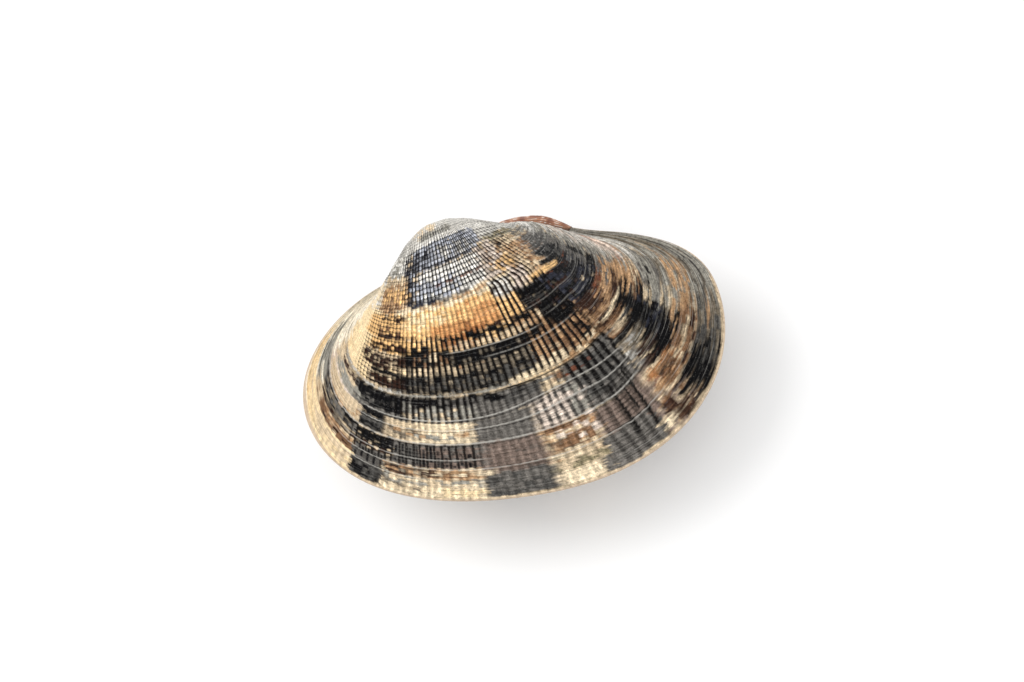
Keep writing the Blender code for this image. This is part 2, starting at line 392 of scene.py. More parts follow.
def crack_shape(direction, size):
    """The cracks, 1 at their deepest."""
    cracks = 0 * size
    for place, slant, first, last in CRACKS:
        aside = direction + (size - CRACK_MIDDLE) * slant
        cracks = cracks + aside.peak(place, 0.9) * size.band(first, last, 0.01)
    return cracks


def painted_groove_shade(direction, age):
    """How dark the painted shade is in the grooves between ribs and in those between cords."""
    groove = 0.10 + 0 * age
    cording = 0.10 + 0 * age
    for rib_strength, cord_strength, sides, ages in GROOVE_SHADES:
        cover = direction.band(*sides, 1.5) * age.band(*ages, 0.004)
        groove = groove + (rib_strength - groove) * cover
        cording = cording + (cord_strength - cording) * cover
    return groove, cording


def scaled(tree, arrow, amount):
    """A vector or a colour times a number."""
    return wire(tree, "ShaderNodeVectorMath", {"operation": "SCALE"}, vector=arrow, scale=amount)


def raised_by(tree, geometry, height):
    """Moves each vertex outward, along its normal."""
    return moved(tree, geometry, offset=scaled(tree, wire(tree, "GeometryNodeInputNormal"), height))


def relief_tree(name, pigments, finish):
    """Raises ribs, cords, lips and furrows on the dome, and lays its pigments."""
    tree, inputs = open_tree(name, {
        "Ribs": RIBS, "Rib crowding": RIB_CROWDING, "Rib height": 0.085 * MM, "Cord height": 0.030 * MM,
        "Lamella height": 0.050 * MM, "Lip height": 1.0 * MM, "Furrow depth": 0.32 * MM,
        "Notch depth": 0.50 * MM, "Crack depth": 0.18 * MM, "Rib lean": 105, "Seed": 0,
    })
    (geometry, ribs, crowding, rib_height, cord_height, lamella_height, lip_height, furrow_depth, notch_depth,
     crack_depth, rib_lean, seed) = inputs
    direction = attribute(tree, "direction")
    size = attribute(tree, "size")
    age = growth_age(tree, direction, size, seed)

    rib_sway = noise(tree, direction * 0.12, size * 2.5, seed + 7) * 0.50
    rib_sway = rib_sway + noise(tree, direction * 0.5, size * 14, seed + 8, detail=1) * 0.16

    def rib_count(across):
        """How many ribs lie in front of a share of the half turn, with their sway."""
        return across * (1 + crowding * (1 - across)) * ribs + rib_sway

    lean = (0.445 - size).at_least(0) * rib_lean * direction.ramp(84, 110)
    phase = rib_count((direction + lean) / 180)
    side_phase = rib_count(direction / 180)
    crest = -(phase.wave())
    rounded = crest.ramp(-1.0, 0.5) * 2 - 1
    lamellate = (direction.ramp(BACK_SLOPE - 1, BACK_SLOPE + 4) + direction.ramp(28, 48, 1, 0)).at_most(1)
    ribbed = direction.ramp(20, 46) * direction.ramp(BACK_SLOPE - 1.5, BACK_SLOPE + 1.5, 1, 0.10)
    ribbed = ribbed * size.ramp(0.18, 0.30)
    coarse = direction.band(112, BACK_SLOPE, 2)
    uneven = 0.7 + 0.6 * chance(tree, phase.math("FLOOR") + seed)
    rib_size = size.ramp(0.3, 0.6, 0.6, 1) * size.ramp(0.67, 0.70, 1, 0.5)
    rib_size = rib_size * (1 + coarse * size.ramp(0.66, 0.70)) * size.ramp(0.81, 0.83, 1, 0.55)
    ribbing = rounded * ribbed * uneven * rib_size

    cord_sway = noise(tree, direction * 0.03, size * 20, seed + 3) * 0.35
    cord_sway = cord_sway + noise(tree, direction * 0.5, size * 14, seed + 4, detail=1) * 0.30
    cord_phase = age / CORD_SPACING + cord_sway
    cord = -(cord_phase.wave()) * (1 - lamellate) * size.ramp(0.67, 0.69, 1, 0.5)
    lamella_phase = age / LAMELLA_SPACING + cord_sway
    lamella = -(lamella_phase.wave()) * lamellate * (0.4 + chance(tree, lamella_phase.math("FLOOR") + 0.5))

    notch = direction.band(126.5, 139, 1.2) * (size - (direction - 127) * 0.0030).hill(0.703, 0.006)
    sunk = furrow_shape(direction, size) * furrow_depth + crack_shape(direction, size) * crack_depth
    height = ribbing * rib_height + cord * cord_height + lamella * lamella_height
    height = height * size.ramp(0.960, 0.992, 1, 0)
    height = height + lips_in_mm(direction, age) * lip_height * size.ramp(0.982, 1.0, 1, 0)
    height = height - sunk * size.ramp(0.93, 1.0, 1, 0)
    height = height - notch * notch_depth
    free = direction.ramp(0, 9) * direction.ramp(171, 180, 1, 0)
    raised = raised_by(tree, geometry, height * free)

    # Painted shade in the grooves between ribs and between cords.
    groove, cording = painted_groove_shade(direction, age)
    cells = direction.band(58, 112, 2) * age.band(0.29, 0.434, 0.006)
    # Where the crests are rubbed pale: partly wear, partly painted glints, most on the umbo.
    wear_and_glint_cloud = noise(tree, direction * 0.15, size * 14, seed + 11)
    wear_and_glints = size.ramp(0.42, 0.50, 1, 0.12) * (0.55 + 0.45 * wear_and_glint_cloud)

    colour = lay_pigments(tree, pigments, age, phase, side_phase, crest, cord_phase, lamellate, seed)
    raised = kept(tree, raised, "pigment", colour, "FLOAT_COLOR")
    stored = {
        "rib_phase": phase, "side_phase": side_phase, "cord_phase": cord_phase,
        "lamella_phase": lamella_phase, "age": age, "groove": groove * ribbed,
        "cording": cording * (1 - lamellate), "cells": cells, "lamellate": lamellate, "wear_and_glints": wear_and_glints,
    }
    for label, value in stored.items():
        raised = kept(tree, raised, label, value)
    close_tree(tree, raised, finish)
    return tree


# The pigments.
# The mantle lays colour down with the shell, so a patch starts and ends along growth lines, and its sides
# follow ribs. Colours are named as seen in soft white light. A few patches are painted sheen, glints,
# reflection and shadow, as said where they stand.
def paint(red, green, blue):
    """A colour from its screen values, 0 to 255."""
    return (*(pow(value / 255, 2.2) for value in (red, green, blue)), 1.0)


IVORY = paint(246, 236, 216)
CREAM = paint(230, 210, 177)
PALE_GOLD = paint(238, 212, 168)
SAND = paint(208, 186, 154)
ROSE_CREAM = paint(214, 197, 182)
GOLD = paint(232, 188, 130)
AMBER = paint(206, 150, 98)
RUST = paint(160, 108, 68)
TAN = paint(178, 142, 106)
BROWN = paint(124, 94, 70)
RED_BROWN = paint(112, 64, 44)
UMBER = paint(54, 36, 28)
BLACK = paint(12, 12, 15)
BLUE_BLACK = paint(46, 48, 57)
STEEL_SHEEN = paint(168, 171, 180)
SLATE = paint(102, 98, 93)
DARK_SLATE = paint(76, 74, 71)
SLATE_BROWN = paint(116, 101, 92)
GREY = paint(146, 142, 132)
PALE_GREY = paint(196, 192, 184)
WHITE = paint(224, 220, 212)
OLIVE = paint(134, 124, 98)
TAUPE = paint(112, 102, 88)
SALMON_SHEEN = paint(210, 168, 146)
# Near black for the painted shade in the grooves and the painted shadow under the lips, and for cracks, pits
# and hairlines.
DEEP = paint(15, 12, 11)
RIM = paint(186, 166, 148)

# Each patch: colour, directions in degrees, ages, how ragged its ends are, the share of cells that it misses,
# and where it lies on the ribs: 1 on their crests only, -1 in the grooves only, 0 all over. A patch's number
# in the list is the seed of its chances.
PATCHES = (
    # The worn beaks and the umbo. Their pale grey top and white front flank are partly wear and partly a
    # painted sheen.
    (PALE_GREY, (0, 180), (0.0, 0.305), 0.02, 0, 0),
    (SAND, (62, 84), (0.18, 0.245), 0.03, 0.45, 0),
    (GREY, (69, 95), (0.243, 0.272), 0.01, 0.25, 0),
    (DARK_SLATE, (70, 94), (0.246, 0.27), 0.01, 0.45, -0.9),
    (WHITE, (66, 125), (0.272, 0.292), 0.006, 0.1, 0),
    (WHITE, (14, 60), (0.27, 0.46), 0.03, 0, 0),
    (GREY, (34, 58), (0.3, 0.375), 0.02, 0.55, 0),
    (CREAM, (14, 46), (0.36, 0.46), 0.03, 0.3, 0),
    # The steel-blue cap: black shell, with steel grey and pale grey painted in for the sheen and glints on
    # it.
    (STEEL_SHEEN, (64, 110), (0.29, 0.358), 0.012, 0.08, 0),
    (PALE_GREY, (80, 104), (0.315, 0.35), 0.012, 0.5, 0),
    (DARK_SLATE, (92, 110), (0.302, 0.352), 0.01, 0.45, -0.8),
    (BLUE_BLACK, (59, 68), (0.31, 0.436), 0.014, 0.25, 0),
    (BLUE_BLACK, (66, 76), (0.3, 0.36), 0.014, 0.5, 0),
    (STEEL_SHEEN, (62, 76), (0.335, 0.43), 0.02, 0.55, 0.8),
    (BLUE_BLACK, (74, 109), (0.354, 0.362), 0.004, 0.4, 0),
    (WHITE, (69, 106), (0.364, 0.442), 0.008, 0.06, 0),
    (STEEL_SHEEN, (66, 90), (0.385, 0.434), 0.02, 0.5, 0),
    (RED_BROWN, (78, 108), (0.402, 0.408), 0.004, 0.35, 0),
    # Behind the cap.
    (PALE_GREY, (109, 178), (0.29, 0.335), 0.02, 0, 0),
    (GREY, (113, 178), (0.33, 0.4), 0.02, 0.45, 0),
    (OLIVE, (112, 136), (0.328, 0.378), 0.02, 0.45, 0),
    (SLATE, (124, 150), (0.345, 0.4), 0.02, 0.5, 0),
    (SAND, (104, 132), (0.35, 0.446), 0.012, 0.08, 0),
    (TAN, (106, 132), (0.36, 0.446), 0.012, 0.45, 0),
    (ROSE_CREAM, (103, 117), (0.352, 0.44), 0.012, 0.35, 0),
    (GOLD, (110, 124), (0.395, 0.442), 0.012, 0.45, 0),
    (BLACK, (113, 130), (0.344, 0.374), 0.01, 0.62, 0),
    (SAND, (120, 146), (0.372, 0.49), 0.015, 0.3, 0),
    (TAN, (122, 146), (0.372, 0.49), 0.015, 0.35, 0),
    (SLATE, (134, 160), (0.372, 0.49), 0.02, 0.2, 0),
    (BROWN, (128, 146), (0.38, 0.43), 0.015, 0.62, 0),
    (DARK_SLATE, (137, 158), (0.4, 0.49), 0.02, 0.25, 0),
    (BLACK, (134, 158), (0.434, 0.49), 0.012, 0.25, 0),
    (BROWN, (113, 132), (0.436, 0.462), 0.008, 0.62, 0),
    (SAND, (120.5, 125.5), (0.415, 0.476), 0.006, 0, 0),
    (ROSE_CREAM, (112, 121), (0.44, 0.479), 0.008, 0.15, 0),
    (UMBER, (103, 125), (0.352, 0.432), 0.012, 0.55, -0.8),
    (UMBER, (111, 124), (0.436, 0.48), 0.01, 0.2, -0.9),
    (GOLD, (120, 137), (0.469, 0.482), 0.004, 0.1, 0),
    # The front of the young shell.
    (SAND, (44, 62), (0.352, 0.462), 0.015, 0.1, 0),
    (TAN, (44, 62), (0.376, 0.462), 0.015, 0.25, 0),
    (GOLD, (46, 64), (0.385, 0.425), 0.012, 0.5, 0),
    (BROWN, (46, 54), (0.394, 0.412), 0.008, 0.62, 0),
    (BROWN, (47, 58), (0.42, 0.446), 0.008, 0.55, 0),
    (PALE_GOLD, (18, 47), (0.452, 0.672), 0.02, 0, 0),
    (IVORY, (0, 27), (0.4, 1.0), 0.02, 0, 0),
    # The golden band.
    (CREAM, (57, 114), (0.442, 0.468), 0.006, 0, 0),
    (BLUE_BLACK, (63, 80), (0.43, 0.447), 0.006, 0.35, 0),
    (SLATE, (79, 98), (0.438, 0.448), 0.005, 0.45, 0),
    (TAN, (66, 102), (0.446, 0.454), 0.004, 0.5, 0),
    (GOLD, (40, 104), (0.46, 0.532), 0.012, 0, 0),
    (PALE_GOLD, (60, 80), (0.466, 0.505), 0.012, 0.45, 0),
    (AMBER, (79, 102), (0.486, 0.53), 0.026, 0.25, 0),
    (AMBER, (84, 98), (0.464, 0.49), 0.02, 0.7, 0),
    (RUST, (79, 95), (0.505, 0.552), 0.024, 0.35, 0),
    (AMBER, (72, 84), (0.5, 0.548), 0.016, 0.3, 0),
    (BLACK, (102.5, 113), (0.446, 0.48), 0.008, 0.5, 0),
    (WHITE, (102.5, 112.5), (0.448, 0.478), 0.006, 0.35, 0.5),
    (GOLD, (102, 113), (0.48, 0.527), 0.01, 0, 0),
    (UMBER, (102, 113), (0.446, 0.602), 0.01, 0.06, -0.95),
    (UMBER, (112, 124), (0.48, 0.602), 0.01, 0.06, -0.95),
    (UMBER, (48, 62), (0.47, 0.487), 0.01, 0.45, 0),
    (BROWN, (47, 60), (0.498, 0.53), 0.012, 0.62, 0),
    (UMBER, (46, 61), (0.518, 0.54), 0.008, 0.35, 0),
    (UMBER, (58, 76), (0.522, 0.537), 0.008, 0.35, -0.6),
    (UMBER, (96, 113), (0.524, 0.552), 0.01, 0.4, 0),
    # The dark bands below it.
    (GOLD, (44, 106), (0.534, 0.572), 0.005, 0, 0),
    (TAN, (104, 114), (0.53, 0.572), 0.008, 0, 0),
    (RUST, (76, 92), (0.53, 0.562), 0.014, 0.35, 0),
    (RUST, (78, 92), (0.552, 0.604), 0.014, 0.62, 0.8),
    (UMBER, (84, 113.5), (0.526, 0.566), 0.012, 0.03, -0.98),
    (UMBER, (68, 86), (0.534, 0.572), 0.012, 0.1, -0.95),
    (BLACK, (76, 113), (0.53, 0.546), 0.01, 0.45, 0),
    (BLACK, (58, 72), (0.546, 0.562), 0.01, 0.45, 0),
    (SAND, (80, 110), (0.546, 0.567), 0.006, 0.3, 0.5),
    (BLACK, (86, 113), (0.566, 0.606), 0.008, 0.3, 0),
    (BLACK, (112, 158), (0.478, 0.532), 0.01, 0.02, 0),
    (BLACK, (116, 158), (0.526, 0.592), 0.01, 0.05, 0),
    (TAN, (111, 117), (0.558, 0.612), 0.008, 0.15, 0.6),
    (BLUE_BLACK, (124, 156), (0.49, 0.585), 0.02, 0.6, 0),
    (RED_BROWN, (132, 148), (0.484, 0.5), 0.01, 0.8, 0),
    (UMBER, (115, 140), (0.5, 0.56), 0.02, 0.72, 0),
    (UMBER, (45, 62), (0.546, 0.568), 0.01, 0.35, 0),
    (BLACK, (60, 80), (0.562, 0.606), 0.012, 0.05, 0),
    (BROWN, (60, 82), (0.56, 0.604), 0.02, 0.66, 0.9),
    (SAND, (70, 84), (0.566, 0.604), 0.03, 0.72, 0.9),
    (BLACK, (79, 114), (0.568, 0.604), 0.004, 0.06, 0),
    (TAUPE, (78, 110), (0.572, 0.604), 0.02, 0.74, 0.8),
    (UMBER, (42, 62), (0.576, 0.6), 0.006, 0.22, 0),
    (SAND, (41, 60), (0.568, 0.576), 0.006, 0.35, 0),
    (PALE_GOLD, (55, 64), (0.606, 0.62), 0.006, 0.3, 0),
    (UMBER, (43, 60), (0.602, 0.616), 0.005, 0.3, 0),
    (SAND, (62, 86), (0.606, 0.624), 0.006, 0.3, 0),
    (TAUPE, (84, 107), (0.604, 0.63), 0.006, 0.2, 0),
    (BLACK, (62, 107), (0.596, 0.63), 0.01, 0.05, -0.95),
    (BLACK, (48, 62), (0.618, 0.632), 0.006, 0.25, 0),
    (BLACK, (58, 107), (0.625, 0.67), 0.008, 0.03, 0),
    (TAUPE, (60, 107), (0.606, 0.672), 0.02, 0.62, 0.7),
    (DARK_SLATE, (64, 107), (0.63, 0.672), 0.02, 0.45, 0.6),
    (SAND, (44, 58), (0.631, 0.638), 0.004, 0.4, 0),
    (UMBER, (47, 62), (0.637, 0.667), 0.01, 0.15, 0),
    # Between the dark bands and the back slope.
    (TAN, (107, 129), (0.566, 0.664), 0.01, 0, 0),
    (SAND, (107, 118), (0.6, 0.664), 0.02, 0.62, 0),
    (BROWN, (112, 129), (0.566, 0.655), 0.03, 0.35, 0),
    (UMBER, (105, 129), (0.56, 0.664), 0.01, 0.02, -0.98),
    (BLACK, (123, 129), (0.59, 0.655), 0.008, 0.6, 0),
    (BLACK, (117, 129), (0.556, 0.594), 0.008, 0.15, 0),
    (BLACK, (107, 113), (0.56, 0.59), 0.008, 0.3, 0),
    # The lip of the longest stop.
    (CREAM, (97, 129), (0.657, 0.679), 0.006, 0.05, 0),
    (TAN, (112, 129), (0.657, 0.679), 0.006, 0.55, 0),
    (CREAM, (105, 116), (0.644, 0.662), 0.01, 0.25, 0.4),
    (PALE_GREY, (28, 60), (0.669, 0.679), 0.006, 0.3, 0),
    (GREY, (58, 96), (0.671, 0.679), 0.006, 0.45, 0),
    # The back slope down to the notch.
    (BROWN, (128.5, 170), (0.59, 0.72), 0.01, 0, 0),
    (TAN, (128.5, 160), (0.606, 0.69), 0.01, 0.3, 0),
    (RED_BROWN, (138, 155), (0.586, 0.606), 0.01, 0.4, 0),
    (UMBER, (128.5, 140), (0.584, 0.634), 0.01, 0.12, 0),
    (BROWN, (130, 158), (0.634, 0.655), 0.008, 0.62, 0),
    (UMBER, (142, 154), (0.636, 0.672), 0.008, 0.25, 0),
    (TAN, (146, 164), (0.608, 0.634), 0.008, 0.25, 0),
    (CREAM, (131, 146), (0.654, 0.667), 0.005, 0.25, 0),
    (SAND, (130.5, 139), (0.684, 0.706), 0.006, 0.2, 0),
    (BROWN, (130.5, 142), (0.667, 0.686), 0.006, 0.1, 0),
    (BLACK, (139, 151), (0.662, 0.7), 0.01, 0.15, 0),
    (UMBER, (129, 136), (0.65, 0.676), 0.006, 0.62, 0),
    (TAN, (152, 172), (0.61, 0.735), 0.012, 0.15, 0),
    (SAND, (150, 158), (0.688, 0.718), 0.008, 0.12, 0),
    (BROWN, (150, 160), (0.69, 0.725), 0.012, 0.45, 0),
    (SLATE, (150, 168), (0.728, 0.8), 0.012, 0.1, 0),
    (BLACK, (135.5, 151), (0.7, 0.85), 0.01, 0, 0),
    (BLUE_BLACK, (140, 150), (0.7, 0.8), 0.02, 0.7, 0),
    (TAUPE, (129.5, 136), (0.718, 0.8), 0.008, 0.05, 0),
    (UMBER, (129.5, 137), (0.778, 0.826), 0.01, 0.2, 0),
    # Black along the notch: painted shadow in it.
    (BLACK, (126, 143), (0.706, 0.722), 0.003, 0.02, 0),
    (GREY, (130, 134), (0.718, 0.76), 0.01, 0.55, 0),
    (PALE_GREY, (133, 136), (0.73, 0.742), 0.005, 0.3, 0),
    (GREY, (149, 168), (0.73, 0.798), 0.01, 0.5, 0),
    (BLACK, (153, 166), (0.748, 0.774), 0.006, 0.58, 0),
    # The smoky slope behind the umbo.
    (GREY, (157, 178), (0.4, 0.64), 0.02, 0, 0),
    (SLATE, (150, 162), (0.42, 0.64), 0.03, 0.4, 0),
    (BLACK, (146, 160), (0.5, 0.59), 0.02, 0.62, 0),
    (PALE_GREY, (152, 180), (0.33, 0.405), 0.02, 0.25, 0),
    # The white, pale grey, rose cream and salmon along the dorsal edge are painted light: a painted
    # reflection of the white surroundings and a grey-pink painted sheen on the edge, which faces away from
    # the lamps.
    (WHITE, (158, 180), (0.3, 0.4), 0.02, 0.15, 0),
    (WHITE, (165, 180), (0.4, 0.66), 0.02, 0.1, 0),
    (GREY, (160, 168), (0.5, 0.78), 0.03, 0.3, 0),
    (PALE_GREY, (166, 180), (0.3, 1.0), 0.03, 0.1, 0),
    (ROSE_CREAM, (164, 180), (0.48, 0.7), 0.03, 0.5, 0),
    (SALMON_SHEEN, (165, 173), (0.64, 0.7), 0.02, 0.6, 0),
    # The back slope down to the margin.
    (TAUPE, (137, 174), (0.85, 0.99), 0.01, 0, 0),
    (TAUPE, (151, 174), (0.795, 0.83), 0.008, 0, 0),
    (GREY, (150, 178), (0.8, 0.992), 0.02, 0.45, 0),
    (TAN, (146, 164), (0.822, 0.896), 0.014, 0.4, 0),
    (TAN, (128, 138), (0.84, 0.902), 0.008, 0.05, 0),
    (RUST, (129, 136), (0.832, 0.89), 0.01, 0.45, 0),
    (BROWN, (133, 152), (0.848, 0.9), 0.01, 0.35, 0),
    (SAND, (139, 154), (0.86, 0.894), 0.008, 0.72, 0),
    (UMBER, (132, 150), (0.86, 0.9), 0.012, 0.65, 0),
    (BLACK, (130.5, 145), (0.904, 0.99), 0.008, 0.02, 0),
    (DARK_SLATE, (142, 156), (0.9, 0.987), 0.014, 0.45, 0),
    (DARK_SLATE, (156, 170), (0.91, 0.987), 0.014, 0.75, 0),
    (TAN, (147, 151), (0.935, 0.952), 0.006, 0.1, 0),
    (SLATE_BROWN, (123.5, 130.5), (0.9, 0.99), 0.012, 0.1, 0),
    (BROWN, (127, 131), (0.905, 0.985), 0.014, 0.45, 0),
    (SAND, (123, 126), (0.945, 0.985), 0.01, 0.5, 0),
    (UMBER, (126.5, 132), (0.922, 0.99), 0.01, 0.66, 0),
    (CREAM, (122.5, 127), (0.95, 0.985), 0.008, 0.3, 0),
    (PALE_GREY, (128, 131), (0.735, 0.812), 0.008, 0.3, 0),
    # Under the lip of the longest stop.
    (SAND, (26, 48), (0.684, 0.74), 0.008, 0, 0),
    (UMBER, (32, 46), (0.684, 0.701), 0.006, 0.3, 0),
    (SLATE, (43, 105), (0.68, 0.74), 0.004, 0, 0),
    (BLACK, (43, 72), (0.68, 0.701), 0.006, 0.22, 0),
    (BLACK, (70, 104), (0.681, 0.701), 0.008, 0.48, 0),
    (DARK_SLATE, (94, 106), (0.69, 0.719), 0.008, 0.25, 0),
    (BLACK, (44, 63), (0.683, 0.722), 0.01, 0.2, 0),
    (BLACK, (60, 84), (0.68, 0.736), 0.02, 0.08, -0.95),
    (SAND, (62, 82), (0.703, 0.738), 0.012, 0.58, 0.7),
    (GREY, (62, 84), (0.7, 0.738), 0.014, 0.45, 0.7),
    (SAND, (104, 114), (0.69, 0.738), 0.006, 0.1, 0),
    (GREY, (104, 114), (0.685, 0.738), 0.012, 0.55, 0),
    (BROWN, (108, 115), (0.688, 0.718), 0.008, 0.35, 0),
    (SLATE, (112.5, 129), (0.68, 0.816), 0.006, 0, 0),
    (DARK_SLATE, (112.5, 128), (0.684, 0.79), 0.012, 0.28, 0),
    (RED_BROWN, (111, 120), (0.698, 0.714), 0.005, 0.45, 0.4),
    (GREY, (113, 120), (0.716, 0.738), 0.006, 0.4, 0.5),
    (BLACK, (112.5, 129), (0.68, 0.775), 0.014, 0.1, -1.0),
    (GREY, (29, 47), (0.706, 0.737), 0.008, 0.4, 0),
    (DARK_SLATE, (31, 46), (0.712, 0.734), 0.006, 0.72, 0),
    # The check pattern below.
    (ROSE_CREAM, (24, 49), (0.738, 0.812), 0.008, 0, 0),
    (SAND, (30, 49), (0.744, 0.812), 0.01, 0.15, 0),
    (TAN, (34, 49), (0.77, 0.812), 0.012, 0.66, 0),
    (SAND, (26, 49), (0.744, 0.804), 0.012, 0.35, 0),
    (BLACK, (47.5, 57), (0.734, 0.76), 0.004, 0.04, 0),
    (DARK_SLATE, (47.5, 57), (0.758, 0.812), 0.006, 0.05, 0),
    (BLACK, (48, 57), (0.784, 0.804), 0.006, 0.35, 0),
    (SAND, (56.5, 66), (0.738, 0.812), 0.005, 0, 0),
    (TAUPE, (56.5, 60), (0.738, 0.804), 0.008, 0.45, 0),
    (CREAM, (64, 81.5), (0.738, 0.812), 0.005, 0, 0),
    (DARK_SLATE, (56.5, 68), (0.736, 0.752), 0.008, 0.58, -0.6),
    (SAND, (56.5, 68), (0.738, 0.802), 0.01, 0.15, 0),
    (TAUPE, (56.5, 67), (0.768, 0.802), 0.01, 0.45, 0),
    (TAN, (57, 81), (0.772, 0.79), 0.01, 0.65, 0),
    (GREY, (64, 82), (0.782, 0.8), 0.01, 0.62, 0),
    (SLATE, (82, 99.3), (0.738, 0.99), 0.004, 0, 0),
    (SLATE_BROWN, (82, 99.3), (0.812, 0.908), 0.01, 0.04, 0),
    (DARK_SLATE, (83, 99.3), (0.908, 0.99), 0.01, 0.5, 0),
    (ROSE_CREAM, (99.3, 113), (0.738, 0.812), 0.005, 0, 0),
    (GREY, (109, 114), (0.738, 0.812), 0.006, 0.3, 0),
    (SLATE, (101, 114), (0.736, 0.75), 0.006, 0.35, 0),
    (SLATE, (99.3, 113), (0.738, 0.812), 0.014, 0.6, -0.8),
    (BLACK, (24, 62), (0.811, 0.856), 0.01, 0.1, 0),
    (TAUPE, (34, 50), (0.85, 0.878), 0.01, 0.1, 0),
    (SLATE, (22, 48), (0.812, 0.85), 0.014, 0.55, 0),
    (TAUPE, (26, 46), (0.826, 0.862), 0.014, 0.6, 0),
    (UMBER, (32, 62), (0.854, 0.88), 0.008, 0.35, 0),
    (SLATE, (59, 84), (0.812, 0.89), 0.005, 0, 0),
    (SLATE_BROWN, (66, 84), (0.82, 0.888), 0.01, 0.35, 0),
    (BLACK, (59, 72), (0.822, 0.886), 0.014, 0.3, 0.9),
    (BLACK, (73, 83), (0.814, 0.886), 0.02, 0.58, 0.9),
    (GREY, (16, 28), (0.81, 0.91), 0.02, 0.2, 0),
    (SAND, (28, 49), (0.876, 0.922), 0.008, 0, 0),
    (TAN, (34, 48), (0.876, 0.9), 0.008, 0.25, 0),
    (BROWN, (30, 49), (0.88, 0.918), 0.01, 0.3, 0),
    (UMBER, (34, 48), (0.9, 0.914), 0.008, 0.55, 0),
    (TAN, (99.3, 114), (0.814, 0.916), 0.008, 0, 0),
    (SAND, (99.3, 103), (0.814, 0.87), 0.008, 0.4, 0),
    (ROSE_CREAM, (102, 114), (0.814, 0.87), 0.01, 0.5, 0),
    (AMBER, (104, 114), (0.826, 0.846), 0.008, 0.8, 0),
    (BROWN, (99.3, 114), (0.812, 0.828), 0.008, 0.45, 0),
    (SAND, (101, 114), (0.868, 0.916), 0.01, 0.3, 0),
    (CREAM, (99.3, 106), (0.886, 0.918), 0.01, 0.45, 0),
    (TAUPE, (99.3, 108), (0.852, 0.884), 0.01, 0.5, 0),
    (CREAM, (103, 112), (0.824, 0.85), 0.01, 0.65, 0),
    (BROWN, (101, 114), (0.846, 0.884), 0.012, 0.62, 0),
    (SLATE_BROWN, (113, 128), (0.816, 0.9), 0.006, 0, 0),
    (SLATE, (111.5, 124), (0.894, 0.992), 0.008, 0, 0),
    (OLIVE, (99.3, 112), (0.914, 0.948), 0.008, 0.15, 0),
    (SAND, (100, 111), (0.914, 0.948), 0.01, 0.6, 0),
    (SLATE, (48, 58), (0.872, 0.93), 0.006, 0, 0),
    (BLACK, (48, 58), (0.876, 0.926), 0.01, 0.2, 0.8),
    (DARK_SLATE, (47.5, 57), (0.93, 0.99), 0.006, 0.12, 0),
    (BLACK, (47.5, 57), (0.93, 0.986), 0.008, 0.55, 0),
    (CREAM, (57, 81.8), (0.89, 0.992), 0.006, 0, 0),
    (TAN, (57, 82), (0.892, 0.93), 0.01, 0.4, 0),
    (TAUPE, (57, 68), (0.892, 0.986), 0.012, 0.62, 0),
    (BROWN, (57, 80), (0.892, 0.918), 0.01, 0.74, 0),
    (UMBER, (57, 72), (0.896, 0.926), 0.01, 0.7, 0),
    (GREY, (57, 82), (0.928, 0.956), 0.008, 0.55, 0),
    (SAND, (60, 78), (0.924, 0.985), 0.012, 0.5, 0),
    (PALE_GOLD, (72, 82), (0.96, 0.99), 0.01, 0.45, 0),
    (PALE_GOLD, (14, 48), (0.918, 0.992), 0.008, 0, 0),
    (SAND, (34, 48), (0.924, 0.98), 0.012, 0.3, 0),
    (SAND, (14, 48), (0.936, 0.95), 0.008, 0.45, 0),
    (SLATE, (108.5, 113), (0.944, 0.992), 0.006, 0.1, 0),
    (CREAM, (99.3, 108.5), (0.946, 0.992), 0.006, 0, 0),
    (CREAM, (80, 85.5), (0.897, 0.914), 0.006, 0.15, 0),
)


def mix(tree, factor, first, second):
    """Colour that goes from first to second as factor goes from 0 to 1."""
    node = tree.nodes.new("ShaderNodeMix")
    node.data_type = "RGBA"
    for value, entry in ((factor, node.inputs[0]), (first, node.inputs[6]), (second, node.inputs[7])):
        plug(value, entry)
    return Wire(tree, node.outputs[2])


# From one patch to the next: the step in its chances, and the turn in radians in how it mixes the clouds.
CHANCE_STEP = 0.618
CLOUD_TURN = 2.4
# The share of missing cells is spread over this much of the range of their chances.
MISSING_RANGE = 0.62


